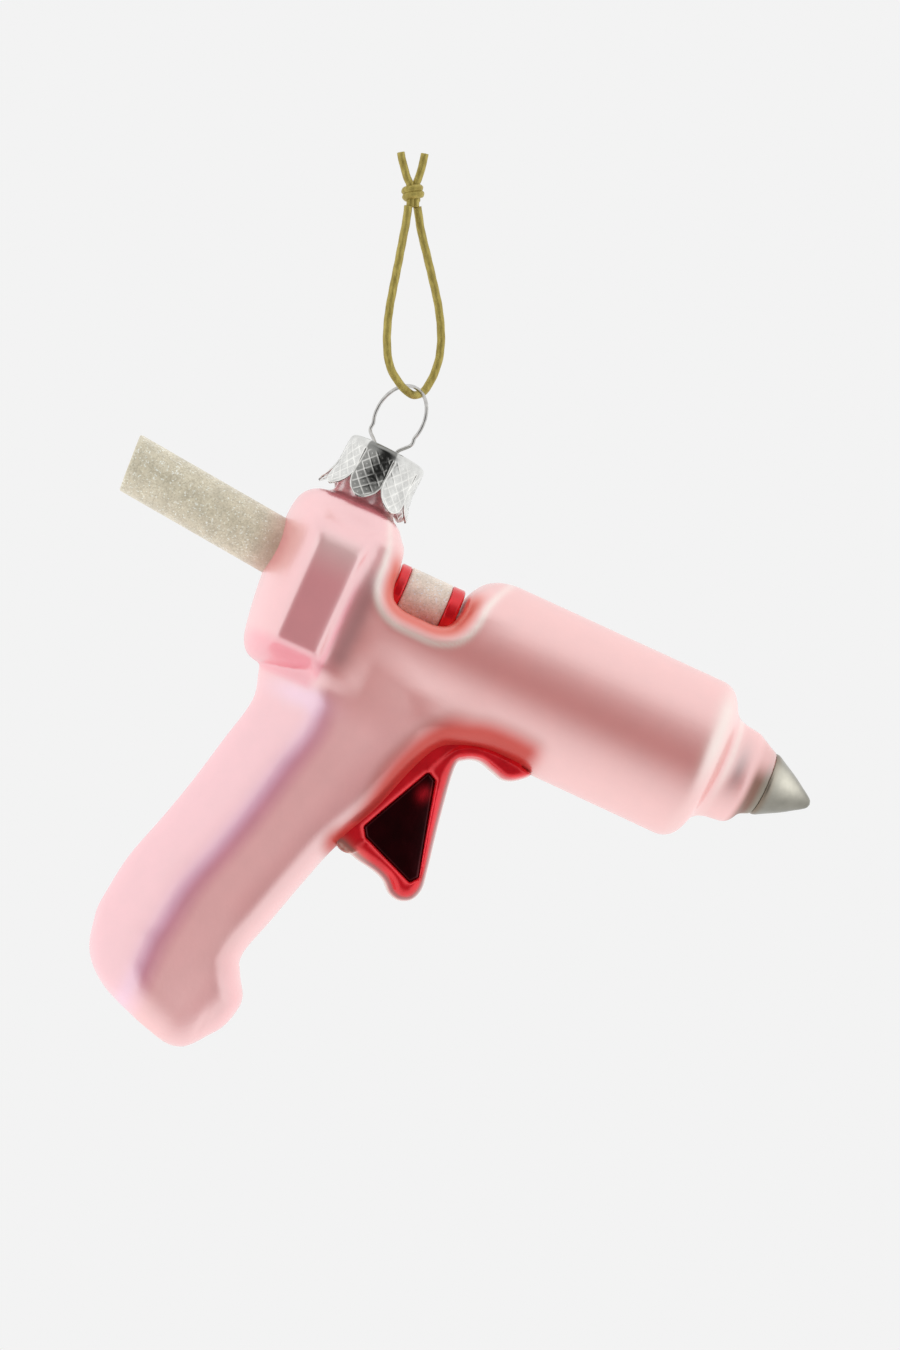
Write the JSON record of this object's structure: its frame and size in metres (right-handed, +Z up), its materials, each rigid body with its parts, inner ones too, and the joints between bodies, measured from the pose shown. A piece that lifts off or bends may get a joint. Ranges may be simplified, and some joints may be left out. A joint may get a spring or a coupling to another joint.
{
  "type": "glue applicator ornament",
  "caption": "Blown-glass tree ornament in the shape of a hot-glue gun, hung nose down from a gold cord by the ring of a spring wire in its stamped cap.",
  "frame": {"origin": "inside top of the cord loop, just under its knot, where the ornament hangs", "axes": "+Z up, +X towards the side that the nose points to, +Y away from the near side"},
  "size_m": [0.1169, 0.0276, 0.1438],
  "materials": {
    "pink_glass": "satin pearl-pink lacquer over mirrored glass",
    "glitter_glass": "cream lacquer with fine glitter",
    "red_glass": "glossy transparent red over mirrored glass",
    "dark_glass": "glossy very dark red over mirrored glass",
    "silver_glass": "satin champagne-silver lacquer",
    "cap_metal": "bright stamped sheet with a raised lattice",
    "wire": "drawn spring wire",
    "gold_cord": "twisted metallic thread"
  },
  "bodies": {
    "cord": {"hanging_cord": "gold_cord", "cord_knot": "gold_cord"},
    "hanger": {"hanger_wire": "wire"},
    "cap": {"cap": "cap_metal"},
    "glass": {"casing": "pink_glass", "glue_stick_rear": "glitter_glass", "glue_stick_front": "glitter_glass", "notch_liner": "red_glass", "trigger": "red_glass", "trigger_panel_near": "dark_glass", "trigger_panel_far": "dark_glass", "nozzle_tip": "silver_glass"}
  },
  "joints": [
    {"name": "swing", "type": "hinge", "parent": "cord", "child": "hanger", "pos_m": [0, 0, -0.02965], "axis": [0, 1, 0], "range_deg": [-30, 30]},
    {"name": "ring_slide", "type": "slide", "parent": "hanger", "child": "cap", "axis": [-0.4115, 0, -0.9114], "range_m": [0, 0.0035]},
    {"name": "neck_turn", "type": "hinge", "parent": "cap", "child": "glass", "pos_m": [-0.00573, 0, -0.0438], "axis": [0.4115, 0, 0.9114], "continuous": true}
  ]
}
